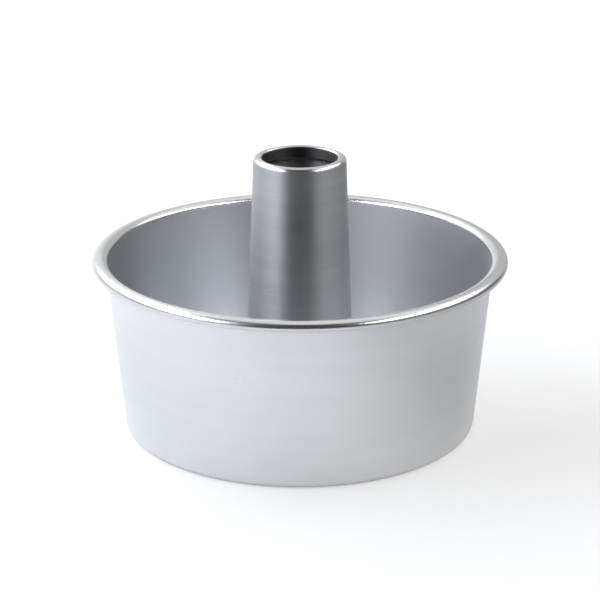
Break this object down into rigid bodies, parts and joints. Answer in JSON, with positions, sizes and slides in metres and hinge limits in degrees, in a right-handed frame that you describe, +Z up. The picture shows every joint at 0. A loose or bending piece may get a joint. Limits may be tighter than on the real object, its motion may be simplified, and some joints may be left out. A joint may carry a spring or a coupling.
{
  "type": "angel food cake pan",
  "caption": "Round tapered cake pan of spun aluminium with a rolled rim, a loose base plate and a tall centre tube, which lifts out with the cake and holds it upside down to cool.",
  "frame": {"origin": "centre of the pan's foot, on the axis, at the level that the pan stands on", "axes": "+Z up along the tube's axis; the pan is a body of revolution, so X and Y are any two level directions"},
  "size_m": [0.193, 0.193, 0.1286],
  "materials": {
    "wall_aluminium": "satin anodised, with fine spinning lines",
    "plate_aluminium": "satin anodised",
    "tube_aluminium": "satin anodised, with wavy spinning lines"
  },
  "bodies": {
    "ring": {"outer_ring": "wall_aluminium"},
    "insert": {"base_plate": "plate_aluminium", "centre_tube": "tube_aluminium"}
  },
  "joints": [
    {"name": "insert_lift", "type": "slide", "parent": "ring", "child": "insert", "axis": [0, 0, 1], "range_m": [0, 0.095]}
  ]
}
